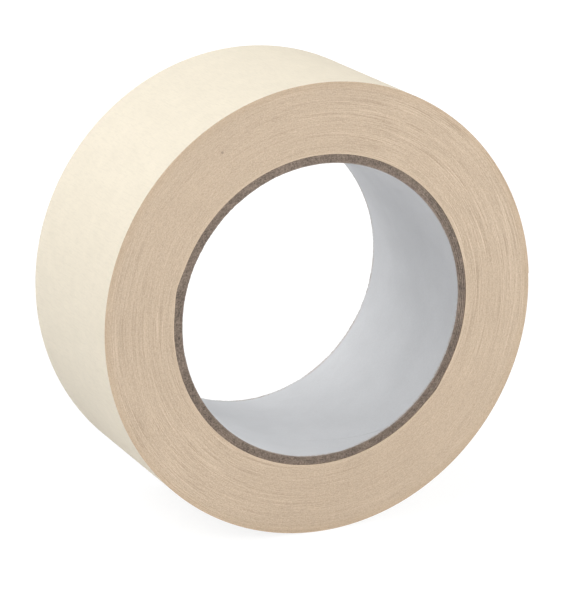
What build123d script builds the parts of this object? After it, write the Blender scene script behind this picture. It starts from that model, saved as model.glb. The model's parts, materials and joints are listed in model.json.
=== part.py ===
"""Masking tape roll: a spiral-wound paperboard core with 159 turns of crepe paper tape.

Frame: millimetres, +Z up. The origin is the centre of the core's bore. The bore's axis lies along Y,
so the roll stands on its rim, and its side faces are at y = -25 and y = +25. Angles are measured round
the bore's axis, from +X towards +Z. Seen from -Y, with +X to the right, the tape winds outwards clockwise.
"""
from build123d import *
import os
from math import cos, pi, radians, sin, tan

# Driving dimensions, in millimetres and degrees.
bore_radius = 38.1
tape_width = 50.0

liner_thickness = 0.2
ply_thickness = 0.525
ply_count = 4
seam_lead_angle = 33.0
seam_gap = 0.3
liner_seam_angle = -60.5
ply_seam_step = 83.0

paper_thickness = 0.085
adhesive_thickness = 0.03
turn_count = 159
strip_start_angle = 165.0
strip_start_gap = 1.6

tab_root_angle = 50.0
tab_segment_angle = 11.7
tab_segment_count = 4
tab_lift = 0.015

# Derived dimensions.
half_width = tape_width / 2
core_radius = bore_radius + liner_thickness + ply_count * ply_thickness
turn_pitch = paper_thickness + adhesive_thickness
roll_radius = core_radius + turn_count * turn_pitch
pack_radius = roll_radius - 2 * turn_pitch
strip_length = pi * (roll_radius**2 - core_radius**2) / turn_pitch / 1000

# The spiral is drawn as half circles about two centres, a half pitch apart on the line of the tab's root.
upper_centre = (turn_pitch / 4 * cos(radians(tab_root_angle)), turn_pitch / 4 * sin(radians(tab_root_angle)))
lower_centre = (-upper_centre[0], -upper_centre[1])


def polar(radius, angle):
    """A point in the side view, from its distance and direction from the bore's axis."""
    return (radius * cos(radians(angle)), radius * sin(radians(angle)))


def spiral_turn(radius):
    """One clockwise turn of the spiral, from this radius at the tab's root to one pitch further out."""
    CenterArc(lower_centre, radius + turn_pitch / 4, tab_root_angle, -180)
    CenterArc(upper_centre, radius + 3 * turn_pitch / 4, tab_root_angle - 180, -180)


def root_line(inner_radius, outer_radius):
    """A short radial line at the tab's root."""
    Line(polar(inner_radius, tab_root_angle), polar(outer_radius, tab_root_angle))


def core_tube(label, inner_radius, thickness, seam_angle):
    """One spiral-wound layer of the core, with the narrow helical gap where its strip's edges meet."""
    outer_radius = inner_radius + thickness
    lead = 2 * pi * inner_radius * tan(radians(seam_lead_angle))
    overrun = 4.0
    seam_length = tape_width + 2 * overrun
    first_angle = seam_angle + 360 * overrun / lead
    with BuildLine() as seam_line:
        Helix(lead, seam_length, inner_radius, center=(0, 0, -half_width - overrun))
    start = seam_line.line @ 0
    across = Plane(origin=start, x_dir=(start.X, start.Y, 0), z_dir=seam_line.line % 0)
    with BuildPart() as seam:
        with BuildSketch(across):
            Rectangle(4 * thickness, seam_gap)
        sweep(path=seam_line.line, is_frenet=True)
    turned_seam = Rot(0, -first_angle, 0) * Rot(-90, 0, 0) * seam.part
    with BuildPart() as tube:
        with BuildSketch(Plane.XZ):
            Circle(outer_radius)
            Circle(inner_radius, mode=Mode.SUBTRACT)
        extrude(amount=half_width, both=True)
        add(turned_seam, mode=Mode.SUBTRACT)
    tube.part.label = label
    return tube.part


def wound_tape():
    """The bonded pack of inner turns, with a small channel where the strip starts on the core."""
    gap_angle = strip_start_gap / core_radius * 180 / pi
    with BuildPart() as pack:
        with BuildSketch(Plane.XZ):
            with BuildLine():
                spiral_turn(pack_radius)
                root_line(pack_radius, pack_radius + turn_pitch)
            make_face()
            Circle(core_radius, mode=Mode.SUBTRACT)
            with BuildLine():
                Polyline(
                    polar(core_radius - turn_pitch, strip_start_angle),
                    polar(core_radius + turn_pitch, strip_start_angle),
                    polar(core_radius - turn_pitch, strip_start_angle + 2 * gap_angle),
                    close=True,
                )
            make_face(mode=Mode.SUBTRACT)
        extrude(amount=half_width, both=True)
    pack.part.label = "wound_tape"
    return pack.part


def outer_turn(label, bottom, thickness):
    """A layer of the outermost turn, from its bottom's height in the strip and its thickness."""
    inner_radius = pack_radius + bottom
    outer_radius = inner_radius + thickness
    with BuildPart() as layer:
        with BuildSketch(Plane.XZ):
            with BuildLine():
                spiral_turn(inner_radius)
                spiral_turn(outer_radius)
                root_line(inner_radius, outer_radius)
                root_line(inner_radius + turn_pitch, outer_radius + turn_pitch)
            make_face()
        extrude(amount=half_width, both=True)
    layer.part.label = label
    return layer.part


def tab_segment(label, number, bottom, thickness):
    """A layer of one length of the free end, which lies closed on the turn beneath it."""
    first_angle = tab_root_angle - (number - 1) * tab_segment_angle
    inner_radius = pack_radius + 1.25 * turn_pitch + tab_lift + bottom
    outer_radius = inner_radius + thickness
    with BuildPart() as layer:
        with BuildSketch(Plane.XZ):
            with BuildLine():
                inner_arc = CenterArc(lower_centre, inner_radius, first_angle, -tab_segment_angle)
                outer_arc = CenterArc(lower_centre, outer_radius, first_angle, -tab_segment_angle)
                Line(inner_arc @ 0, outer_arc @ 0)
                Line(inner_arc @ 1, outer_arc @ 1)
            make_face()
        extrude(amount=half_width, both=True)
    layer.part.label = label
    return layer.part


def hinge_line(number):
    """Where a length of the free end bends from the one before it: a line on the outer surface."""
    angle = radians(tab_root_angle - (number - 1) * tab_segment_angle)
    radius = pack_radius + 2.25 * turn_pitch + tab_lift
    return (lower_centre[0] + radius * cos(angle), 0.0, lower_centre[1] + radius * sin(angle))


# The core: the pale liner inside, then the board plies, each with its seam further round.
pieces = [core_tube("core_liner", bore_radius, liner_thickness, liner_seam_angle)]
for number in range(1, ply_count + 1):
    inner_radius = bore_radius + liner_thickness + (number - 1) * ply_thickness
    seam_angle = liner_seam_angle + number * ply_seam_step
    pieces.append(core_tube(f"core_ply_{number}", inner_radius, ply_thickness, seam_angle))

# The wound strip: the bonded turns, the outermost turn, and the free end.
pieces.append(wound_tape())
pieces.append(outer_turn("outer_turn_adhesive", 0.0, adhesive_thickness))
pieces.append(outer_turn("outer_turn_paper", adhesive_thickness, paper_thickness))
for number in range(1, tab_segment_count + 1):
    pieces.append(tab_segment(f"tape_end_adhesive_{number}", number, 0.0, adhesive_thickness))
    pieces.append(tab_segment(f"tape_end_paper_{number}", number, adhesive_thickness, paper_thickness))

os.makedirs("parts", exist_ok=True)
for piece in pieces:
    export_step(piece, f"parts/{piece.label}.step")

print(f"roll radius {roll_radius:.3f}, core radius {core_radius:.3f}, strip length {strip_length:.1f} m")
for number in range(1, tab_segment_count + 1):
    print(f"hinge line {number}:", [round(value, 4) for value in hinge_line(number)])
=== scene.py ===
"""Masking tape roll: a crepe paper tape wound on a spiral-wound board core, with a free end that peels.

The file is laid out as a Blender add-on and run as a script. Every size comes from the frame or from the
settings below, in metres. The roll's axis lies along Y. Angles are measured from +X towards +Z, and seen
from -Y the tape winds outwards clockwise.
"""
import json
from math import atan2, cos, pi, radians, sin, tan

import bmesh
import bpy
import numpy as np
from bpy.props import FloatProperty, FloatVectorProperty, IntProperty, PointerProperty
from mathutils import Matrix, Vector, noise


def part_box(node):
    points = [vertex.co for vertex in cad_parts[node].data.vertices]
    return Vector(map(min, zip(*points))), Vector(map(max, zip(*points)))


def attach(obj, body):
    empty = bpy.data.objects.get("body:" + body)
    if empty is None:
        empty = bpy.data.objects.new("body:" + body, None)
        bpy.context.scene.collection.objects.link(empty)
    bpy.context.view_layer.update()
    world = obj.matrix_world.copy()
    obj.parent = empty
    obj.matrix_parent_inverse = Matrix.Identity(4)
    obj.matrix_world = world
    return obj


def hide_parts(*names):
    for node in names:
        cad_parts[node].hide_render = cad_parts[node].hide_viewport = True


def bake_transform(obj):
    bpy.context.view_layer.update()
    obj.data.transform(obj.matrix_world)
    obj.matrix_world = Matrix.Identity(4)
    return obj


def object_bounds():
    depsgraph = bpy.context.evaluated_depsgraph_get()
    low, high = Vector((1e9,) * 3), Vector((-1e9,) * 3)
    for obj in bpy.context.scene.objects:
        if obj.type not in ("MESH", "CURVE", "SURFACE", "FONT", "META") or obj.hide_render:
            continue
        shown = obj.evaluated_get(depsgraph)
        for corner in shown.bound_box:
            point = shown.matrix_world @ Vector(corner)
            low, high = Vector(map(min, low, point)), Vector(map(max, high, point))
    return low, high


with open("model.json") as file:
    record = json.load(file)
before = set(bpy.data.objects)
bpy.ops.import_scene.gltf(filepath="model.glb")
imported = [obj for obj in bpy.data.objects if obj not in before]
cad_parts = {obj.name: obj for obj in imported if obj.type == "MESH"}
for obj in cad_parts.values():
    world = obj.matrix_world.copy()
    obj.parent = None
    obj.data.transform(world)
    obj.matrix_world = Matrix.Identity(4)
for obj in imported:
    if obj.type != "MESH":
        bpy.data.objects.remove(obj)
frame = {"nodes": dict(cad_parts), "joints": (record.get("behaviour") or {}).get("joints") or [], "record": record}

bl_info = {
    "name": "Masking Tape Roll",
    "version": (1, 0, 0),
    "blender": (4, 5, 0),
    "location": "3D View > Sidebar > Tape Roll",
    "description": "Builds a masking tape roll with its core, wound turns and peeling end",
    "category": "Add Mesh",
}

MM = 0.001
CAD_LOW, CAD_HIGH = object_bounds()
HINGES = [Vector(joint["pos_m"]) for joint in frame["joints"]]
CORE_MOUNT = next(m for m in frame["record"]["mounts"] if m["name"] == "core_bore")
HALF_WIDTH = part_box("wound_tape")[1][1]
PLY_COUNT = sum(name.startswith("core_ply_") for name in frame["nodes"])
TAB_COUNT = len(HINGES)

# How narrow the swelling is over the strip's start and over the burr, and the strip's points in one turn
# and across it.
START_SHARPNESS, BURR_SHARPNESS = 130.0, 260.0
STEPS_A_TURN, CREPE_STATIONS = 1400, 56


def node_radius(node):
    """Half the width of a round CAD node that is centred on the axis."""
    low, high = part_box(node)
    return (high[0] - low[0]) / 2


# ---- Settings ----

def length(name, default, text):
    """A length setting, in metres."""
    return FloatProperty(name=name, description=text, default=default, min=0.0, precision=6,
                         subtype="DISTANCE", unit="LENGTH")


def colour(name, default, text):
    """A colour setting, in linear values."""
    return FloatVectorProperty(name=name, description=text, default=default, size=3, min=0.0, max=1.0,
                               subtype="COLOR")


class TapeSizes(bpy.types.PropertyGroup):
    """The roll's sizes and places"""
    bore_radius: length("Bore radius", CORE_MOUNT["dims"]["r_mm"] * MM, "Inside radius of the core")
    liner_radius: length("Liner radius", node_radius("core_liner"), "Outside radius of the liner paper")
    core_radius: length("Core radius", node_radius(f"core_ply_{PLY_COUNT}"), "Outside radius of the core")
    half_width: length("Half width", HALF_WIDTH, "Half the width of the tape")
    paper_thickness: length("Paper thickness", 0.085 * MM, "Thickness of the crepe paper")
    adhesive_thickness: length("Adhesive thickness", 0.03 * MM, "Thickness of the adhesive coat")
    tab_lift: length("Tab lift", 0.015 * MM, "Gap under the free end when it lies closed")
    turn_count: IntProperty(name="Turns", description="Turns of tape on the core", default=159, min=3)
    seam_lead: FloatProperty(name="Seam lead", description="Angle of the core's seams to its rim",
                             default=radians(33.0), subtype="ANGLE")
    seam_gap: length("Seam gap", 0.3 * MM, "Gap between the edges of a board ply")
    liner_seam_angle: FloatProperty(name="Liner seam", description="Where the liner's seam meets the front",
                                    default=radians(-60.5), subtype="ANGLE")
    ply_seam_step: FloatProperty(name="Ply seam step", description="Turn from each layer's seam to the next",
                                 default=radians(83.0), subtype="ANGLE")
    strip_start: FloatProperty(name="Strip start", description="Where the tape starts on the core",
                               default=radians(165.5), subtype="ANGLE")
    strip_start_height: length("Strip start height", 0.42 * MM, "How far the strip's start lifts the turns")
    burr_angle: FloatProperty(name="Burr", description="Where the outer ply has a raised burr",
                              default=radians(-37.5), subtype="ANGLE")
    burr_height: length("Burr height", 0.3 * MM, "How far the burr lifts the turns")
    side_relief: length("Side relief", 0.065 * MM, "Depth of the layer lines in the cut sides")
    crepe_height: length("Crepe height", 0.022 * MM, "Height of the crepe wrinkles")
    crepe_spacing: length("Crepe spacing", 0.62 * MM, "Distance from one crepe wrinkle to the next")


class TapeColours(bpy.types.PropertyGroup):
    """The roll's colours"""
    crepe: colour("Crepe paper", (0.785, 0.716, 0.584), "Cream backing of the tape")
    cut_side: colour("Cut side", (0.49, 0.387, 0.284), "Tan of the cut tape edges")
    adhesive: colour("Adhesive", (0.42, 0.29, 0.18), "Dried edge of the adhesive coat")
    board: colour("Board", (0.165, 0.128, 0.101), "Grey-brown chipboard")
    liner: colour("Liner", (0.635, 0.643, 0.656), "Pale grey liner paper")


def sizes():
    """The roll's sizes, as the scene holds them."""
    return bpy.context.scene.tape_sizes


def colours():
    """The roll's colours, as the scene holds them."""
    return bpy.context.scene.tape_colours


def pitch():
    """How far the tape's radius grows in one turn."""
    return sizes().paper_thickness + sizes().adhesive_thickness


def pack_radius():
    """Radius of the bonded turns at the tab's root, below the outermost turn."""
    return sizes().core_radius + (sizes().turn_count - 2) * pitch()


# ---- Node trees ----

def put(tree, socket, value):
    """Links a socket to another node's output, or sets its value."""
    if isinstance(value, bpy.types.NodeSocket):
        tree.links.new(value, socket)
    elif value is not None:
        socket.default_value = value


def add_node(tree, kind, inputs=None, **options):
    """Adds a node, sets its options, and fills the inputs given by name or number."""
    node = tree.nodes.new(kind)
    for option, value in options.items():
        setattr(node, option, value)
    for key, value in (inputs or {}).items():
        put(tree, node.inputs[key], value)
    return node


def maths(tree, operation, a, b=None, c=None):
    """A maths node's result."""
    values = {number: value for number, value in enumerate((a, b, c)) if value is not None}
    return add_node(tree, "ShaderNodeMath", values, operation=operation).outputs[0]


def mix(tree, factor, a, b, kind="RGBA", blend="MIX"):
    """A blend of two colours (kind RGBA) or two numbers (kind FLOAT)."""
    first = {"RGBA": 6, "FLOAT": 2}[kind]
    node = add_node(tree, "ShaderNodeMix", {0: factor, first: a, first + 1: b}, data_type=kind)
    if kind == "RGBA":
        node.blend_type = blend
    return node.outputs[{"RGBA": 2, "FLOAT": 0}[kind]]


def span(tree, value, low, high, start=0.0, end=1.0, smooth=True):
    """A value moved from the range low to high into the range start to end."""
    inputs = {"Value": value, "From Min": low, "From Max": high, "To Min": start, "To Max": end}
    kind = "SMOOTHSTEP" if smooth else "LINEAR"
    return add_node(tree, "ShaderNodeMapRange", inputs, interpolation_type=kind).outputs[0]


def noise_value(tree, vector, scale, detail=2.0, roughness=0.5, distortion=0.0):
    """A noise texture's value, centred on a half."""
    inputs = {"Vector": vector, "Scale": scale, "Detail": detail, "Roughness": roughness,
              "Distortion": distortion}
    return add_node(tree, "ShaderNodeTexNoise", inputs).outputs[0]


def scaled(tree, vector, factors):
    """A vector with each of its parts multiplied."""
    return add_node(tree, "ShaderNodeVectorMath", {0: vector, 1: factors}, operation="MULTIPLY").outputs[0]


def rgba(values):
    """A colour setting as a socket's four values."""
    return (*values, 1.0)


def new_group(name, kind, inputs, outputs):
    """A new node group with its sockets made, and the sockets of its two end nodes."""
    group = bpy.data.node_groups.new(name, kind)
    for label, socket, value in inputs:
        made = group.interface.new_socket(label, in_out="INPUT", socket_type=socket)
        if value is not None:
            made.default_value = value
    for label, socket in outputs:
        group.interface.new_socket(label, in_out="OUTPUT", socket_type=socket)
    return group, group.nodes.new("NodeGroupInput").outputs, group.nodes.new("NodeGroupOutput").inputs


def shared(name, make):
    """The node group of this name, made the first time it is asked for."""
    return bpy.data.node_groups.get(name) or make(name)


def use_group(tree, group, inputs):
    """Places a shader node group in a material, with its own values."""
    node = tree.nodes.new("ShaderNodeGroup")
    node.node_tree = group
    for key, value in inputs.items():
        put(tree, node.inputs[key], value)
    return node.outputs


# ---- Effects that more than one material uses ----

def paper_mottle(name):
    """Cloudy unevenness of paper pulp, coarse and fine together."""
    group, given, result = new_group(
        name, "ShaderNodeTree",
        [("Vector", "NodeSocketVector", None), ("Cloud Scale", "NodeSocketFloat", 120.0),
         ("Fleck Scale", "NodeSocketFloat", 1500.0), ("Fleck Share", "NodeSocketFloat", 0.4)],
        [("Mottle", "NodeSocketFloat"), ("Flecks", "NodeSocketFloat")])
    cloud = noise_value(group, given["Vector"], given["Cloud Scale"], 3.0, 0.55)
    fleck = noise_value(group, given["Vector"], given["Fleck Scale"], 2.0, 0.6)
    cloud_wide = span(group, cloud, 0.3, 0.7, smooth=False)
    fleck_wide = span(group, fleck, 0.3, 0.7, smooth=False)
    put(group, result["Mottle"], mix(group, given["Fleck Share"], cloud_wide, fleck_wide, "FLOAT"))
    put(group, result["Flecks"], fleck_wide)
    return group


def paper_fibres(name):
    """Short fibres of two directions, as a height and a mask."""
    group, given, result = new_group(
        name, "ShaderNodeTree",
        [("Vector", "NodeSocketVector", None), ("Scale", "NodeSocketFloat", 900.0),
         ("Along", "NodeSocketVector", (1.0, 0.15, 1.0)), ("Across", "NodeSocketVector", (0.2, 1.0, 1.0))],
        [("Height", "NodeSocketFloat"), ("Mask", "NodeSocketFloat")])
    ways = [noise_value(group, scaled(group, given["Vector"], given[way]), given["Scale"], 2.0, 0.6, 0.4)
            for way in ("Along", "Across")]
    height = maths(group, "MAXIMUM", *ways)
    put(group, result["Height"], height)
    put(group, result["Mask"], span(group, height, 0.55, 0.72))
    return group


def dust_specks(name):
    """Rare small dark specks: one cell in many holds one."""
    group, given, result = new_group(
        name, "ShaderNodeTree",
        [("Vector", "NodeSocketVector", None), ("Scale", "NodeSocketFloat", 110.0),
         ("Size", "NodeSocketFloat", 0.07), ("Share", "NodeSocketFloat", 0.05)],
        [("Mask", "NodeSocketFloat")])
    cells = add_node(group, "ShaderNodeTexVoronoi", {"Vector": given["Vector"], "Scale": given["Scale"]})
    chosen = add_node(group, "ShaderNodeSeparateColor", {0: cells.outputs["Color"]}).outputs[0]
    rare = maths(group, "LESS_THAN", chosen, given["Share"])
    near = maths(group, "LESS_THAN", cells.outputs["Distance"], given["Size"])
    put(group, result["Mask"], maths(group, "MULTIPLY", rare, near))
    return group


def layer_lines(name):
    """The cut edges of the turns: bands, fine lines and short dashes that run with the turns and fade out, partly
    painted shade and painted light.
    """
    group, given, result = new_group(
        name, "ShaderNodeTree",
        [("Turn", "NodeSocketFloat", 0.0), ("Vector", "NodeSocketVector", None),
         ("Grazing Light", "NodeSocketVector", (0.82, 0.0, 0.57)), ("Adhesive Share", "NodeSocketFloat", 0.26)],
        [("Adhesive", "NodeSocketFloat"), ("Swing", "NodeSocketFloat"), ("Height", "NodeSocketFloat")])
    flat = scaled(group, given["Vector"], (1.0, 0.0, 1.0))
    outward = add_node(group, "ShaderNodeVectorMath", {0: flat}, operation="NORMALIZE").outputs[0]

    def lines(turns_per_line, lines_per_radian, detail, low=0.3, high=0.7, start=-1.0, end=1.0):
        """Noise that changes every few turns across the side, and more slowly round the roll."""
        circle = add_node(group, "ShaderNodeSeparateXYZ",
                          {0: scaled(group, outward, (lines_per_radian, 0.0, lines_per_radian))}).outputs
        across = maths(group, "MULTIPLY", given["Turn"], 1.0 / turns_per_line)
        joined = add_node(group, "ShaderNodeCombineXYZ", {0: circle[0], 1: across, 2: circle[2]})
        value = noise_value(group, joined.outputs[0], 1.0, detail, 0.6)
        return span(group, value, low, high, start, end, smooth=False)

    # Painted light: the lines are strongest along one line across the side, where a light would graze it, at one
    # end more than at the other.
    grazing = add_node(group, "ShaderNodeVectorMath", {0: outward, 1: given["Grazing Light"]}, operation="DOT_PRODUCT")
    along = grazing.outputs["Value"]
    line_weight = maths(group, "POWER", maths(group, "ABSOLUTE", along), 1.5)
    line_weight = maths(group, "MULTIPLY", line_weight, maths(group, "MULTIPLY_ADD", along, 0.17, 0.83))
    patches = lines(20.0, 2.2, 1.0, 0.36, 0.64, 0.25, 1.0)
    strength = maths(group, "MULTIPLY", patches, maths(group, "MULTIPLY_ADD", line_weight, 0.75, 0.25))
    fine = maths(group, "MULTIPLY", lines(2.0, 3.6, 2.0), strength)
    bands = lines(8.0, 2.0, 2.0)
    dashes = lines(1.5, 48.0, 2.0)
    grain = span(group, noise_value(group, given["Vector"], 2800.0, 1.0), 0.3, 0.7, -1.0, 1.0, smooth=False)
    # Swing lightens and darkens the turns. This is partly their own tone and partly painted shade: they are
    # lighter where the relief in Height stands out.
    swing = maths(group, "MULTIPLY_ADD", fine, 0.95, maths(group, "MULTIPLY", bands, 0.05))
    swing = maths(group, "MULTIPLY_ADD", grain, 0.3, swing)
    put(group, result["Swing"], maths(group, "MULTIPLY_ADD", dashes, 0.32, swing))
    edge = maths(group, "LESS_THAN", maths(group, "FRACT", given["Turn"]), given["Adhesive Share"])
    put(group, result["Adhesive"], edge)
    raised = maths(group, "MULTIPLY_ADD", fine, 0.5, maths(group, "MULTIPLY", dashes, 0.7))
    put(group, result["Height"], maths(group, "MULTIPLY_ADD", edge, -0.5, raised))
    return group


# ---- Materials ----

def new_material(name, roughness):
    """A material with its Principled shader, and the object's own coordinates."""
    material = bpy.data.materials.new(name)
    material.use_nodes = True
    tree = material.node_tree
    shader = tree.nodes["Principled BSDF"]
    shader.inputs["Roughness"].default_value = roughness
    place = add_node(tree, "ShaderNodeTexCoord").outputs["Object"]
    return material, tree, shader, place


def attribute(tree, name, output):
    """One output of a named attribute."""
    return add_node(tree, "ShaderNodeAttribute", attribute_name=name).outputs[output]


def bump(tree, shader, height, distance):
    """Feeds a height into the shader's normal, with the relief's depth in metres."""
    node = add_node(tree, "ShaderNodeBump", {"Strength": 1.0, "Distance": distance, "Height": height})
    put(tree, shader.inputs["Normal"], node.outputs[0])


def shade(values, factor):
    """A colour made lighter or darker."""
    return rgba([min(1.0, value * factor) for value in values])


def tinted(values, factors):
    """A colour with each of its parts multiplied."""
    return rgba([value * factor for value, factor in zip(values, factors)])


def crepe_material():
    """Cream crepe paper: cloudy pulp, fine wrinkles across the tape with painted shade in their hollows, and a
    slightly waxy face.
    """
    material, tree, shader, _ = new_material("creped_backing", 0.62)
    facing = add_node(tree, "ShaderNodeSeparateXYZ",
                      {0: add_node(tree, "ShaderNodeTexCoord").outputs["Normal"]}).outputs[1]
    cut = maths(tree, "GREATER_THAN", maths(tree, "ABSOLUTE", facing), 0.75)
    place = attribute(tree, "strip_place", "Vector")
    mottle = use_group(tree, shared("Paper Mottle", paper_mottle),
                       {"Vector": place, "Cloud Scale": 160.0, "Fleck Scale": 1300.0, "Fleck Share": 0.45})
    tone = colours().crepe
    body = mix(tree, mottle["Mottle"], shade(tone, 0.955), shade(tone, 1.035))
    wrinkle = noise_value(tree, scaled(tree, place, (1.0, 0.12, 1.0)), 2600.0, 3.0, 0.6, 0.3)
    # Painted shade: the paper is darkened where the wrinkle height is low, in the hollows of the crepe.
    face = mix(tree, span(tree, wrinkle, 0.3, 0.55, 0.5, 0.0), body, shade(tone, 0.9))
    put(tree, shader.inputs["Base Color"], mix(tree, cut, face, shade(colours().cut_side, 0.92)))
    put(tree, shader.inputs["Roughness"], span(tree, mottle["Flecks"], 0.0, 1.0, 0.54, 0.7))
    shader.inputs["Specular IOR Level"].default_value = 0.35
    bump(tree, shader, wrinkle, 0.012 * MM)
    return material


def side_material():
    """The cut side of the wound tape: tan paper edges with darker adhesive lines between them, and lighter and
    darker lines along the turns that are partly painted shade.
    """
    material, tree, shader, place = new_material("cut_tape_side", 0.8)
    tone = colours().cut_side
    lines = use_group(tree, shared("Layer Lines", layer_lines),
                      {"Turn": attribute(tree, "turn", "Fac"), "Vector": place})
    mottle = use_group(tree, shared("Paper Mottle", paper_mottle),
                       {"Vector": place, "Cloud Scale": 90.0, "Fleck Scale": 1700.0, "Fleck Share": 0.6})
    dark, light, rim = (tinted(tone, factors) for factors in
                        ((0.70, 0.67, 0.63), (1.33, 1.36, 1.40), (0.88, 0.80, 0.68)))
    # Painted shade and light: the layer lines lighten and darken the tan. This is partly its own tone, and partly
    # the shade of the turns' relief under a grazing light.
    lined = mix(tree, span(tree, lines["Swing"], -1.0, 1.0, smooth=False), dark, light)
    glued = mix(tree, maths(tree, "MULTIPLY", lines["Adhesive"], 0.3), lined, rgba(colours().adhesive))
    cloudy = mix(tree, mottle["Mottle"], (0.92, 0.92, 0.92, 1.0), (1.0, 1.0, 1.0, 1.0))
    body = mix(tree, 1.0, glued, cloudy, blend="MULTIPLY")
    edge = attribute(tree, "rim_share", "Fac")
    first_turns = mix(tree, span(tree, edge, 0.0, 0.06, 0.3, 0.0), body, shade(tone, 1.3))
    rimmed = mix(tree, span(tree, edge, 0.86, 0.97, 0.0, 0.2), first_turns, rim)
    specks = use_group(tree, shared("Dust Specks", dust_specks), {"Vector": place})
    put(tree, shader.inputs["Base Color"], mix(tree, maths(tree, "MULTIPLY", specks["Mask"], 0.45), rimmed,
                                               shade(colours().board, 0.6)))
    put(tree, shader.inputs["Roughness"], span(tree, mottle["Flecks"], 0.0, 1.0, 0.72, 0.88))
    bump(tree, shader, lines["Height"], 0.03 * MM)
    return material


def board_material():
    """Grey-brown chipboard: matted fibres, lighter and darker flecks."""
    material, tree, shader, place = new_material("grey_chipboard", 0.9)
    tone = colours().board
    mottle = use_group(tree, shared("Paper Mottle", paper_mottle),
                       {"Vector": place, "Cloud Scale": 260.0, "Fleck Scale": 2600.0, "Fleck Share": 0.75})
    fibres = use_group(tree, shared("Paper Fibres", paper_fibres),
                       {"Vector": place, "Scale": 1500.0, "Along": (1.0, 1.0, 0.4),
                        "Across": (0.4, 1.0, 1.0)})
    body = mix(tree, mottle["Mottle"], shade(tone, 0.35), shade(tone, 1.65))
    pale = mix(tree, maths(tree, "MULTIPLY", fibres["Mask"], 0.25), body, shade(tone, 2.2))
    put(tree, shader.inputs["Base Color"], pale)
    bump(tree, shader, fibres["Height"], 0.08 * MM)
    return material


def liner_material():
    """Smooth pale liner paper, with faint clouds and a scuffed cut edge."""
    material, tree, shader, place = new_material("bore_lining", 0.55)
    tone = colours().liner
    mottle = use_group(tree, shared("Paper Mottle", paper_mottle),
                       {"Vector": place, "Cloud Scale": 110.0, "Fleck Scale": 1900.0, "Fleck Share": 0.5})
    fibres = use_group(tree, shared("Paper Fibres", paper_fibres),
                       {"Vector": place, "Scale": 700.0})
    body = mix(tree, mottle["Mottle"], shade(tone, 0.93), shade(tone, 1.05))
    edge = attribute(tree, "edge_share", "Fac")
    parts = add_node(tree, "ShaderNodeSeparateXYZ", {0: place}).outputs
    to_rim = maths(tree, "SUBTRACT", sizes().half_width, maths(tree, "ABSOLUTE", parts[1]))
    rubbed = maths(tree, "MULTIPLY", span(tree, to_rim, 0.3 * MM, 1.3 * MM, 0.6, 0.0),
                   span(tree, mottle["Mottle"], 0.3, 0.7))
    scuffed = mix(tree, rubbed, body, shade(colours().board, 2.4))
    frayed = mix(tree, span(tree, edge, 0.2, 0.9, 0.0, 0.92), scuffed, shade(colours().board, 1.25))
    put(tree, shader.inputs["Base Color"], frayed)
    put(tree, shader.inputs["Roughness"], span(tree, mottle["Flecks"], 0.0, 1.0, 0.5, 0.66))
    bump(tree, shader, fibres["Height"], 0.01 * MM)
    return material


def adhesive_material():
    """Natural rubber adhesive: thin, tacky, a little shiny."""
    material, tree, shader, _ = new_material("tack_coat", 0.35)
    place = attribute(tree, "strip_place", "Vector")
    tone = colours().adhesive
    mottle = use_group(tree, shared("Paper Mottle", paper_mottle),
                       {"Vector": place, "Cloud Scale": 400.0, "Fleck Scale": 2500.0, "Fleck Share": 0.5})
    put(tree, shader.inputs["Base Color"], mix(tree, mottle["Mottle"], shade(tone, 1.15), shade(tone, 1.45)))
    put(tree, shader.inputs["Roughness"], span(tree, mottle["Flecks"], 0.0, 1.0, 0.28, 0.5))
    bump(tree, shader, noise_value(tree, scaled(tree, place, (1.0, 0.2, 1.0)), 2200.0), 0.01 * MM)
    return material


def fibre_material():
    """Loose board fibres: pale, dry and matt."""
    material, tree, shader, place = new_material("board_fibre", 0.9)
    tone = colours().board
    tint = noise_value(tree, place, 700.0, 1.0)
    put(tree, shader.inputs["Base Color"], mix(tree, tint, shade(tone, 1.1), shade(tone, 2.4)))
    return material


def finish_of(name, make):
    """The material of this name, made the first time it is asked for."""
    return bpy.data.materials.get(name) or make()


# ---- Meshes ----

def noise_at(points, seed):
    """Smooth noise from about -1 to 1 at each row of an array of points."""
    shift = Vector((seed * 17.3, seed * 5.9, seed * 11.1))
    flat = points.reshape(-1, 3)
    return np.array([noise.noise(Vector(point) + shift) for point in flat]).reshape(points.shape[:-1])


def around(angle, scale, other=0.0):
    """Points on a circle, for noise that closes on itself round the roll."""
    return np.stack([np.cos(angle) * scale, np.sin(angle) * scale, other + 0 * angle], axis=-1)


def link_piece(name, mesh, material):
    """Puts a mesh into the scene as a piece of its own."""
    if not mesh.materials:
        mesh.materials.append(material)
    piece = bpy.data.objects.new(name, mesh)
    bpy.context.scene.collection.objects.link(piece)
    return piece


def tidy_mesh(mesh):
    """Merges doubles, fills open holes, turns the faces outwards, and marks the sharp edges."""
    sharp = radians(40.0)
    work = bmesh.new()
    work.from_mesh(mesh)
    bmesh.ops.remove_doubles(work, verts=work.verts, dist=1e-7)
    bmesh.ops.holes_fill(work, edges=[edge for edge in work.edges if edge.is_boundary], sides=0)
    bmesh.ops.recalc_face_normals(work, faces=work.faces)
    for face in work.faces:
        face.smooth = True
    for edge in work.edges:
        edge.smooth = edge.calc_face_angle(0.0) < sharp
    work.to_mesh(mesh)
    work.free()
    return mesh


def sweep_mesh(name, points, caps):
    """A solid from an array of closed profiles, steps by points by 3. caps gives each end's faces."""
    steps, count = points.shape[:2]
    index = np.arange(steps * count).reshape(steps, count)
    turned = np.roll(index, -1, axis=1)
    quads = np.stack([index[:-1], turned[:-1], turned[1:], index[1:]], axis=-1).reshape(-1, 4).tolist()
    ends = [[int(index[step, place]) for place in face] for step in (0, steps - 1) for face in caps]
    mesh = bpy.data.meshes.new(name)
    mesh.from_pydata(points.reshape(-1, 3).tolist(), [], quads + ends)
    return mesh


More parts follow.
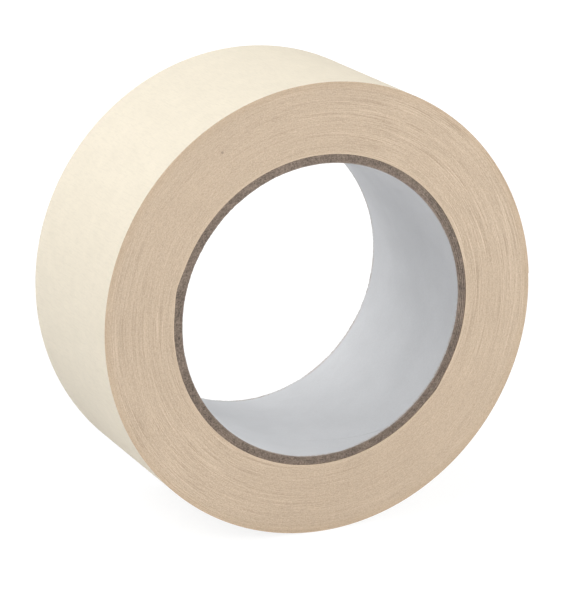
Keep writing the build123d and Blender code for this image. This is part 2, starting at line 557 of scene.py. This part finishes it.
def store(mesh, name, kind, values):
    """Stores a value or a vector for each point, for the materials to read."""
    field = "value" if kind == "FLOAT" else "vector"
    mesh.attributes.new(name, kind, "POINT").data.foreach_set(field, values.astype(np.float32).ravel())


# ---- The core ----

def swelling(angle):
    """How far the outer ply and the turns on it stand out, at the strip's start and at the burr."""
    size = sizes()
    return (size.strip_start_height * np.exp(-START_SHARPNESS * (1 - np.cos(angle - size.strip_start)) * 2)
            + size.burr_height * np.exp(-BURR_SHARPNESS * (1 - np.cos(angle - size.burr_angle)) * 2))


def core_layer(name, inner, outer, seam_angle, gaps, stations, steps, tear, slope, seed):
    """One spiral-wound layer: a tube split along a helix. Its cut ends are rough by up to tear, and lean
    back by slope at the outside. gaps are the split's width at the front end and further in."""
    size = sizes()
    half = size.half_width
    lead = 2 * pi * inner * tan(size.seam_lead)
    line = np.concatenate([[-half, -half + tear], np.linspace(-half, half, stations)[1:-1],
                           [half - tear, half]])
    middle = np.array([0.3, 0.7])
    settling = 7 * MM
    level = np.concatenate([np.ones(line.size), 1 - middle, np.zeros(line.size), middle])
    along = np.concatenate([line, np.full(2, half), line[::-1], np.full(2, -half)])
    gap = gaps[1] + (gaps[0] - gaps[1]) * np.exp(-(along + half) / settling)
    half_gap = gap / sin(size.seam_lead) / inner / 2
    turn = half_gap + (2 * pi - 2 * half_gap) * np.linspace(0.0, 1.0, steps)[:, None]
    angle = seam_angle - (along + half) / lead * 2 * pi + turn
    at_end = np.abs(along) > half - tear / 2
    coarse = noise_at(around(angle[:, at_end], 14.0), seed)
    fine = noise_at(around(angle[:, at_end], 75.0, level[at_end] * 2.0), seed + 1)
    rough = np.clip(0.45 + 0.4 * coarse + 0.5 * fine, 0.05, 1.0) * tear
    recess = np.zeros_like(angle)
    recess[:, at_end] = rough + slope * level[at_end]
    place = along - np.sign(along) * recess
    radius = inner + (outer - inner) * level + np.zeros_like(angle)
    radius[:, at_end] += 0.35 * (outer - inner) * (0.5 - level[at_end]) * np.abs(fine)
    if outer > size.core_radius - 1e-6:
        radius += level * swelling(angle)
    points = np.stack([radius * np.cos(angle), place, radius * np.sin(angle)], axis=-1)
    count = line.size
    total = level.size
    pairs = [[i, i + 1, total - 4 - i, total - 3 - i] for i in range(count - 1)]
    pairs += [[count - 1, count, count + 1, count + 2], [total - 3, total - 2, total - 1, 0]]
    mesh = sweep_mesh(name, points, pairs)
    store(mesh, "edge_share", "FLOAT", np.where(at_end, 1.0, 0.0) + 0 * angle)
    return tidy_mesh(mesh)


class TAPE_OT_core_liner(bpy.types.Operator):
    """Makes the pale liner paper inside the core, with its helical seam"""
    bl_idname = "tape.core_liner"
    bl_label = "Core liner"

    def execute(self, context):
        size = sizes()
        gaps = (0.7 * size.seam_gap, 0.05 * size.seam_gap)
        mesh = core_layer("liner_tube", size.bore_radius, size.liner_radius, size.liner_seam_angle,
                          gaps, stations=36, steps=1081, tear=0.3 * MM, slope=0.0, seed=3)
        piece = link_piece("liner_tube", mesh, finish_of("bore_lining", liner_material))
        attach(piece, "roll")
        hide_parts("core_liner")
        return {"FINISHED"}


class TAPE_OT_core_board(bpy.types.Operator):
    """Makes the board plies of the core, each with its own seam and rough cut ends"""
    bl_idname = "tape.core_board"
    bl_label = "Core board plies"

    def execute(self, context):
        size = sizes()
        ply = (size.core_radius - size.liner_radius) / PLY_COUNT
        for number in range(1, PLY_COUNT + 1):
            inner = size.liner_radius + (number - 1) * ply
            seam = size.liner_seam_angle + number * size.ply_seam_step
            mesh = core_layer(f"board_ply_{number}", inner, inner + ply, seam, (size.seam_gap, size.seam_gap),
                              stations=20, steps=641, tear=0.2 * MM, slope=0.16 * MM, seed=10 * number)
            piece = link_piece(f"board_ply_{number}", mesh, finish_of("grey_chipboard", board_material))
            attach(piece, "roll")
            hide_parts(f"core_ply_{number}")
        return {"FINISHED"}


# ---- Geometry Nodes: the wound turns, and the loose fibres ----

def wound_turns_tree():
    """The bonded turns as one closed spiral solid, with a ring of points at every turn on both cut sides."""
    tree, given, result = new_group(
        "Wound Turns", "GeometryNodeTree",
        [("Core Radius", "NodeSocketFloat", 0.04), ("Pitch", "NodeSocketFloat", 0.0001),
         ("Half Width", "NodeSocketFloat", 0.025), ("Rings", "NodeSocketInt", 10),
         ("Steps", "NodeSocketInt", 100), ("Root Angle", "NodeSocketFloat", 0.0),
         ("Relief", "NodeSocketFloat", 0.0001), ("Start Angle", "NodeSocketFloat", 0.0),
         ("Start Height", "NodeSocketFloat", 0.0003), ("Burr Angle", "NodeSocketFloat", 0.0),
         ("Burr Height", "NodeSocketFloat", 0.0003), ("Seed", "NodeSocketFloat", 1.0),
         ("Material", "NodeSocketMaterial", None)],
        [("Geometry", "NodeSocketGeometry")])
    double = maths(tree, "MULTIPLY", given["Rings"], 2.0)
    columns = maths(tree, "ADD", double, 1.0)
    rows = maths(tree, "ADD", given["Steps"], 1.0)
    grid = add_node(tree, "GeometryNodeMeshGrid", {"Vertices X": columns, "Vertices Y": rows})
    grid.inputs["Size X"].default_value = 1.0
    grid.inputs["Size Y"].default_value = 1.0
    spot = add_node(tree, "ShaderNodeSeparateXYZ",
                    {0: add_node(tree, "GeometryNodeInputPosition").outputs[0]}).outputs
    column = maths(tree, "ROUND", maths(tree, "MULTIPLY", maths(tree, "ADD", spot[0], 0.5), double))
    wrapped = maths(tree, "FLOORED_MODULO", column, double)
    is_back = maths(tree, "GREATER_THAN", wrapped, maths(tree, "SUBTRACT", given["Rings"], 0.5))
    front_ring = maths(tree, "SUBTRACT", maths(tree, "SUBTRACT", given["Rings"], 1.0), wrapped)
    back_ring = maths(tree, "SUBTRACT", wrapped, given["Rings"])
    ring = mix(tree, is_back, front_ring, back_ring, "FLOAT")
    share = maths(tree, "ADD", spot[1], 0.5)
    turn = maths(tree, "MAXIMUM", maths(tree, "ADD", maths(tree, "SUBTRACT", ring, 1.0), share), 0.0)
    is_bore = maths(tree, "LESS_THAN", ring, 0.5)
    settled = maths(tree, "MULTIPLY", turn, maths(tree, "SUBTRACT", 1.0, is_bore))
    radius = maths(tree, "MULTIPLY_ADD", settled, given["Pitch"], given["Core Radius"])
    angle = maths(tree, "MULTIPLY_ADD", share, -2 * pi, given["Root Angle"])
    cosine, sine = maths(tree, "COSINE", angle), maths(tree, "SINE", angle)

    # The turns ride over the strip's thick start and over the burr, and the bulges fade over the next turns.
    def bulge(place, height, sharpness):
        """How far the turns stand out at each angle, for one thing under them."""
        apart = maths(tree, "COSINE", maths(tree, "SUBTRACT", angle, place))
        near = maths(tree, "EXPONENT", maths(tree, "MULTIPLY_ADD", apart, 2 * sharpness, -2 * sharpness))
        return maths(tree, "MULTIPLY", near, height)

    fading = maths(tree, "EXPONENT", maths(tree, "MULTIPLY", settled, -0.1))
    bulges = maths(tree, "ADD", bulge(given["Start Angle"], given["Start Height"], START_SHARPNESS),
                   bulge(given["Burr Angle"], given["Burr Height"], BURR_SHARPNESS))
    full_radius = maths(tree, "MULTIPLY_ADD", bulges, fading, radius)

    def lines(turns_per_line, fade, detail):
        """Noise that changes quickly from turn to turn and slowly round the roll."""
        across = maths(tree, "MULTIPLY_ADD", settled, 1.0 / turns_per_line, given["Seed"])
        place = add_node(tree, "ShaderNodeCombineXYZ", {0: maths(tree, "MULTIPLY", cosine, fade), 1: across,
                                                        2: maths(tree, "MULTIPLY", sine, fade)})
        return span(tree, noise_value(tree, place.outputs[0], 1.0, detail, 0.6), 0.28, 0.72, smooth=False)

    fine = mix(tree, lines(21.0, 1.8, 1.0), 0.5, lines(2.3, 4.5, 1.0), "FLOAT")
    wander = maths(tree, "MULTIPLY_ADD", lines(7.0, 1.6, 1.0), 0.25, maths(tree, "MULTIPLY", fine, 0.75))
    line_weight = mix(tree, is_back, wander, maths(tree, "SUBTRACT", 1.0, wander), "FLOAT")
    depth = maths(tree, "MULTIPLY", maths(tree, "MULTIPLY_ADD", line_weight, 0.9, 0.1), given["Relief"])
    outward = maths(tree, "SUBTRACT", given["Half Width"], depth)
    side = maths(tree, "MULTIPLY_ADD", is_back, 2.0, -1.0)
    place = add_node(tree, "ShaderNodeCombineXYZ", {0: maths(tree, "MULTIPLY", full_radius, cosine),
                                                    1: maths(tree, "MULTIPLY", outward, side),
                                                    2: maths(tree, "MULTIPLY", full_radius, sine)})
    marks = grid.outputs["Mesh"]
    last_ring = maths(tree, "SUBTRACT", given["Rings"], 1.0)
    for label, value in (("turn", settled), ("rim_share", maths(tree, "DIVIDE", settled, last_ring))):
        marks = add_node(tree, "GeometryNodeStoreNamedAttribute",
                         {"Geometry": marks, "Name": label, "Value": value},
                         data_type="FLOAT", domain="POINT").outputs[0]
    moved = add_node(tree, "GeometryNodeSetPosition", {"Geometry": marks, "Position": place.outputs[0]})
    merged = add_node(tree, "GeometryNodeMergeByDistance", {"Geometry": moved.outputs[0], "Distance": 2e-6})
    real = add_node(tree, "GeometryNodeRealizeInstances", {"Geometry": merged.outputs[0]})
    painted = add_node(tree, "GeometryNodeSetMaterial",
                       {"Geometry": real.outputs[0], "Material": given["Material"]})
    put(tree, result["Geometry"], painted.outputs[0])
    return tree


def loose_fibres_tree():
    """Short curled fibres strewn over the faces of a mesh, lying almost flat on them."""
    tree, given, result = new_group(
        "Loose Fibres", "GeometryNodeTree",
        [("Geometry", "NodeSocketGeometry", None), ("Density", "NodeSocketFloat", 1e6),
         ("Length", "NodeSocketFloat", 0.0006), ("Thickness", "NodeSocketFloat", 0.00002),
         ("Seed", "NodeSocketInt", 1), ("Material", "NodeSocketMaterial", None)],
        [("Geometry", "NodeSocketGeometry")])
    points = add_node(tree, "GeometryNodeDistributePointsOnFaces",
                      {"Mesh": given["Geometry"], "Density": given["Density"], "Seed": given["Seed"]})
    half = maths(tree, "MULTIPLY", given["Length"], 0.5)
    lift = maths(tree, "MULTIPLY", given["Length"], 0.3)
    ends = [add_node(tree, "ShaderNodeCombineXYZ", {0: maths(tree, "MULTIPLY", half, sign)}).outputs[0]
            for sign in (-1.0, 1.0)]
    peak = add_node(tree, "ShaderNodeCombineXYZ", {1: lift}).outputs[0]
    curve = add_node(tree, "GeometryNodeCurveQuadraticBezier",
                     {"Resolution": 5, "Start": ends[0], "Middle": peak, "End": ends[1]})
    section = add_node(tree, "GeometryNodeCurvePrimitiveCircle",
                       {"Resolution": 3, "Radius": given["Thickness"]})
    tube = add_node(tree, "GeometryNodeCurveToMesh",
                    {"Curve": curve.outputs[0], "Profile Curve": section.outputs[0], "Fill Caps": True})
    spin = add_node(tree, "FunctionNodeRandomValue", {"Seed": given["Seed"]}, data_type="FLOAT_VECTOR")
    spin.inputs[0].default_value = (-0.12, -0.12, 0.0)
    spin.inputs[1].default_value = (0.12, 0.12, 2 * pi)
    size = add_node(tree, "FunctionNodeRandomValue", {"Seed": given["Seed"]}, data_type="FLOAT")
    size.inputs[2].default_value = 0.4
    size.inputs[3].default_value = 1.3
    turned = add_node(tree, "FunctionNodeRotateRotation",
                      {0: points.outputs["Rotation"], 1: spin.outputs[0]}, rotation_space="LOCAL")
    placed = add_node(tree, "GeometryNodeInstanceOnPoints",
                      {"Points": points.outputs["Points"], "Instance": tube.outputs[0],
                       "Rotation": turned.outputs[0], "Scale": size.outputs[1]})
    real = add_node(tree, "GeometryNodeRealizeInstances", {"Geometry": placed.outputs[0]})
    painted = add_node(tree, "GeometryNodeSetMaterial",
                       {"Geometry": real.outputs[0], "Material": given["Material"]})
    put(tree, result["Geometry"], painted.outputs[0])
    return tree


def run_tree(name, base, tree, values):
    """Runs a Geometry Nodes tree on a base mesh and gives its result as a plain mesh."""
    carrier = bpy.data.objects.new(name + "_carrier", base)
    bpy.context.scene.collection.objects.link(carrier)
    modifier = carrier.modifiers.new(name, "NODES")
    modifier.node_group = tree
    keys = {item.name: item.identifier for item in tree.interface.items_tree if item.in_out == "INPUT"}
    for label, value in values.items():
        modifier[keys[label]] = value
    bpy.context.view_layer.update()
    evaluated = carrier.evaluated_get(bpy.context.evaluated_depsgraph_get())
    mesh = bpy.data.meshes.new_from_object(evaluated)
    mesh.name = name
    carrier.modifiers.remove(modifier)
    bpy.data.objects.remove(carrier)
    return mesh


class TAPE_OT_wound_turns(bpy.types.Operator):
    """Makes the bonded inner turns, with the layer lines of both cut sides"""
    bl_idname = "tape.wound_turns"
    bl_label = "Wound turns"

    def execute(self, context):
        size = sizes()
        finish = finish_of("cut_tape_side", side_material)
        values = {"Core Radius": size.core_radius, "Pitch": pitch(), "Half Width": size.half_width,
                  "Rings": size.turn_count, "Steps": 300, "Root Angle": root_angle(),
                  "Relief": size.side_relief, "Start Angle": size.strip_start,
                  "Start Height": size.strip_start_height, "Burr Angle": size.burr_angle,
                  "Burr Height": size.burr_height, "Seed": 4.7, "Material": finish}
        mesh = run_tree("tape_pack", bpy.data.meshes.new("pack_base"), wound_turns_tree(), values)
        piece = link_piece("tape_pack", tidy_mesh(mesh), finish)
        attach(piece, "roll")
        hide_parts("wound_tape")
        return {"FINISHED"}


class TAPE_OT_board_fibres(bpy.types.Operator):
    """Strews loose paper fibres over the cut ends of the board"""
    bl_idname = "tape.board_fibres"
    bl_label = "Board fibres"

    def execute(self, context):
        size = sizes()
        margin, below_rim, clearance = 0.1 * MM, 0.22 * MM, 0.01 * MM
        inner, outer = size.liner_radius + margin, size.core_radius - margin
        angle = np.linspace(0, 2 * pi, 181)[:-1]
        vertices, faces = [], []
        for side in (-1, 1):
            start = len(vertices)
            for radius in (inner, outer):
                vertices += [(radius * cos(a), side * (size.half_width - below_rim), radius * sin(a))
                             for a in angle]
            for i in range(angle.size):
                j = (i + 1) % angle.size
                ring = [start + i, start + j, start + angle.size + j, start + angle.size + i]
                faces.append(ring if side > 0 else ring[::-1])
        base = bpy.data.meshes.new("fibre_base")
        base.from_pydata(vertices, [], faces)
        values = {"Density": 9e5, "Length": 0.7 * MM, "Thickness": 0.016 * MM, "Seed": 12,
                  "Material": finish_of("board_fibre", fibre_material)}
        mesh = run_tree("board_fibres", base, loose_fibres_tree(), values)
        limit = size.half_width - clearance
        for vertex in mesh.vertices:
            vertex.co.y = max(-limit, min(limit, vertex.co.y))
        piece = link_piece("board_fibres", mesh, finish_of("board_fibre", fibre_material))
        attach(piece, "roll")
        return {"FINISHED"}


# ---- The outermost turn and the free end ----

def root_angle():
    """Where the free end leaves the outermost turn."""
    return atan2(HINGES[0].z, HINGES[0].x)


def hinge_turns():
    """How far round the roll each hinge is from the first, as shares of a turn, and the tip last."""
    places = [(root_angle() - atan2(hinge.z, hinge.x)) / (2 * pi) for hinge in HINGES]
    return places + [places[-1] + places[1]]


def crepe_relief(run, across):
    """Depth below the paper's full height, from 0 to 1, of wrinkles that run across the tape."""
    spacing = sizes().crepe_spacing
    points = np.stack([run / spacing, across / (6 * spacing), 0 * run], axis=-1)
    ridges = noise_at(points, 2)
    swell = noise_at(points * np.array([0.12, 0.3, 1.0]), 5)
    return np.clip(0.5 - 0.75 * ridges - 0.25 * swell, 0.0, 1.0)


def strip_piece(name, first, last, bottom, top, steps, stations, wrinkled):
    """A length of one layer of the strip as a closed solid, between two places along its last turns."""
    size = sizes()
    half = size.half_width
    side_gap, edge_band = 0.012 * MM, 0.8 * MM
    line = np.linspace(-half + side_gap, half - side_gap, stations)
    low_line = line[[-1, 0]]
    across = np.concatenate([line, low_line])
    level = np.concatenate([np.full(stations, top), np.full(2, bottom)])
    share = np.linspace(first, last, steps)[:, None]
    run = share * 2 * pi * pack_radius() + 0 * across
    radius = pack_radius() + share * pitch() + level
    if wrinkled:
        upper = slice(0, stations)
        flat_edge = np.clip((half - np.abs(line)) / edge_band, 0.0, 1.0)
        depth = crepe_relief(run[:, upper], across[None, upper] + 0 * run[:, upper])
        radius[:, upper] -= size.crepe_height * (0.4 + depth * (0.35 + 0.65 * flat_edge))
    angle = root_angle() - 2 * pi * share
    points = np.stack([radius * np.cos(angle), across + 0 * radius, radius * np.sin(angle)], axis=-1)
    mesh = sweep_mesh(name, points, [list(range(stations + 2))])
    store(mesh, "strip_place", "FLOAT_VECTOR", np.stack([run, across + 0 * run, 0 * run + level], axis=-1))
    return tidy_mesh(mesh)


class TAPE_OT_outer_turn(bpy.types.Operator):
    """Makes the outermost turn: crepe paper over its adhesive"""
    bl_idname = "tape.outer_turn"
    bl_label = "Outermost turn"

    def execute(self, context):
        glue = sizes().adhesive_thickness
        paper = strip_piece("outer_turn_crepe", 0.0, 1.0, glue, pitch(), steps=STEPS_A_TURN,
                            stations=CREPE_STATIONS, wrinkled=True)
        tack = strip_piece("outer_turn_tack", 0.0, 1.0, 0.0, glue, steps=400, stations=2, wrinkled=False)
        for mesh, node, finish, make in ((paper, "outer_turn_paper", "creped_backing", crepe_material),
                                         (tack, "outer_turn_adhesive", "tack_coat", adhesive_material)):
            piece = link_piece(mesh.name, mesh, finish_of(finish, make))
            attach(piece, "roll")
            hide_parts(node)
        return {"FINISHED"}


class TAPE_OT_tape_end(bpy.types.Operator):
    """Makes the free end, in lengths that are cut at the hinges and lie closed over the outermost turn"""
    bl_idname = "tape.tape_end"
    bl_label = "Free end"

    def execute(self, context):
        size = sizes()
        turns = hinge_turns()
        layers = (("tack", 0.0, size.adhesive_thickness, 2, "tack_coat", adhesive_material,
                   "tape_end_adhesive_", "adhesive"),
                  ("crepe", size.adhesive_thickness, pitch(), CREPE_STATIONS, "creped_backing",
                   crepe_material, "tape_end_paper_", "crepe_paper"))
        for number in range(1, TAB_COUNT + 1):
            first, last = turns[number - 1], turns[number]
            steps = 8 + round(STEPS_A_TURN * (last - first))
            for label, bottom, top, stations, finish, make, node, slot in layers:
                mesh = strip_piece(f"peel_{label}_{number}", 1 + first, 1 + last, bottom + size.tab_lift,
                                   top + size.tab_lift, steps, stations, label == "crepe")
                piece = link_piece(mesh.name, mesh, finish_of(finish, make))
                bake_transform(piece)
                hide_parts(f"{node}{number}")
        return {"FINISHED"}


# ---- The stage ----

def direction(azimuth, elevation):
    """From the roll towards a place round it. Azimuth 0 is in front of it, and 90 degrees to its right."""
    return Vector((sin(azimuth) * cos(elevation), -cos(azimuth) * cos(elevation), sin(elevation)))


class TAPE_OT_stage(bpy.types.Operator):
    """Sets up the pale floor, the soft studio light and the camera"""
    bl_idname = "tape.stage"
    bl_label = "Stage"

    def execute(self, context):
        self.floor()
        self.lights()
        self.camera()
        context.scene.view_settings.view_transform = "Standard"
        context.scene.view_settings.look = "None"
        return {"FINISHED"}

    def floor(self):
        """A wide plain floor at the roll's lowest line. To the camera it glows more away from the roll."""
        material, tree, shader, place = new_material("pale_floor", 0.9)
        shader.inputs["Base Color"].default_value = (0.76, 0.76, 0.77, 1.0)
        glow = add_node(tree, "ShaderNodeEmission", {"Color": (1.0, 1.0, 1.0, 1.0), "Strength": 1.12})
        seen = add_node(tree, "ShaderNodeLightPath").outputs["Is Camera Ray"]
        distance = add_node(tree, "ShaderNodeVectorMath", {0: place}, operation="LENGTH").outputs["Value"]
        near_share, share_per_metre = 0.72, 0.8
        share = maths(tree, "MULTIPLY_ADD", distance, share_per_metre, near_share)
        factor = maths(tree, "MULTIPLY", seen, share)
        blend = add_node(tree, "ShaderNodeMixShader", {0: factor, 1: shader.outputs[0], 2: glow.outputs[0]})
        put(tree, tree.nodes["Material Output"].inputs["Surface"], blend.outputs[0])
        mesh = bpy.data.meshes.new("floor")
        far = 6.0
        mesh.from_pydata([(-far, -far, CAD_LOW.z), (far, -far, CAD_LOW.z), (far, far, CAD_LOW.z),
                          (-far, far, CAD_LOW.z)], [], [(0, 1, 2, 3)])
        floor = link_piece("floor", mesh, material)

    def lights(self):
        """A dim white room that looks bright to the camera, and large soft lights all round the roll."""
        world = bpy.data.worlds.new("studio")
        bpy.context.scene.world = world
        world.use_nodes = True
        background = world.node_tree.nodes["Background"]
        background.inputs["Color"].default_value = (1.0, 1.0, 1.0, 1.0)
        seen = add_node(world.node_tree, "ShaderNodeLightPath").outputs["Is Camera Ray"]
        lit_strength, seen_strength, away = 0.185, 1.05, 1.5
        strength = mix(world.node_tree, seen, lit_strength, seen_strength, "FLOAT")
        put(world.node_tree, background.inputs["Strength"], strength)
        lamps = (("front_right", 45, 12, 18.8), ("back_left", 240, 45, 14.0), ("front_left", 300, 45, 5.0),
                 ("front", 0, 28, 8.7), ("top", 0, 85, 3.4), ("back", 178, 4, 5.5))
        for name, azimuth, elevation, power in lamps:
            data = bpy.data.lights.new(name, "AREA")
            data.size = 1.0
            data.energy = power
            light = bpy.data.objects.new(name, data)
            outward = direction(radians(azimuth), radians(elevation))
            light.location = outward * away
            light.rotation_mode = "QUATERNION"
            light.rotation_quaternion = (-outward).to_track_quat("-Z", "Y")
            light.visible_camera = False
            bpy.context.scene.collection.objects.link(light)

    def camera(self):
        """A long lens, a little above the roll and to its left."""
        azimuth, elevation = radians(-24.38), radians(16.18)
        distance, rightward, upward = 764.54 * MM, 2.61 * MM, -3.45 * MM
        data = bpy.data.cameras.new("camera")
        data.sensor_width = 36.0
        data.lens = 177.5
        data.clip_start, data.clip_end = 0.05, 30.0
        back = direction(azimuth, elevation)
        turn = (-back).to_track_quat("-Z", "Y")
        camera = bpy.data.objects.new("camera", data)
        camera.rotation_mode = "QUATERNION"
        camera.rotation_quaternion = turn
        camera.location = back * distance + turn @ Vector((rightward, upward, 0.0))
        bpy.context.scene.collection.objects.link(camera)
        bpy.context.scene.camera = camera


# ---- The add-on ----

OPERATORS = (TAPE_OT_core_liner, TAPE_OT_core_board, TAPE_OT_wound_turns, TAPE_OT_outer_turn,
             TAPE_OT_tape_end, TAPE_OT_board_fibres, TAPE_OT_stage)


class TAPE_PT_panel(bpy.types.Panel):
    """Lists the pieces of the roll and their settings"""
    bl_idname = "TAPE_PT_panel"
    bl_label = "Masking Tape Roll"
    bl_space_type = "VIEW_3D"
    bl_region_type = "UI"
    bl_category = "Tape Roll"

    def draw(self, context):
        for operator in OPERATORS:
            self.layout.operator(operator.bl_idname)
        for group in (context.scene.tape_sizes, context.scene.tape_colours):
            for name in group.__annotations__:
                self.layout.prop(group, name)


CLASSES = (TapeSizes, TapeColours, *OPERATORS, TAPE_PT_panel)


def register():
    """Registers the classes and gives each scene its settings."""
    for item in CLASSES:
        bpy.utils.register_class(item)
    bpy.types.Scene.tape_sizes = PointerProperty(type=TapeSizes)
    bpy.types.Scene.tape_colours = PointerProperty(type=TapeColours)


def unregister():
    """Takes the settings and the classes away again."""
    del bpy.types.Scene.tape_colours
    del bpy.types.Scene.tape_sizes
    for item in reversed(CLASSES):
        bpy.utils.unregister_class(item)


def main():
    """Builds every piece in turn."""
    register()
    for operator in OPERATORS:
        getattr(bpy.ops.tape, operator.bl_idname.split(".")[1])()


if __name__ == "__main__":
    main()
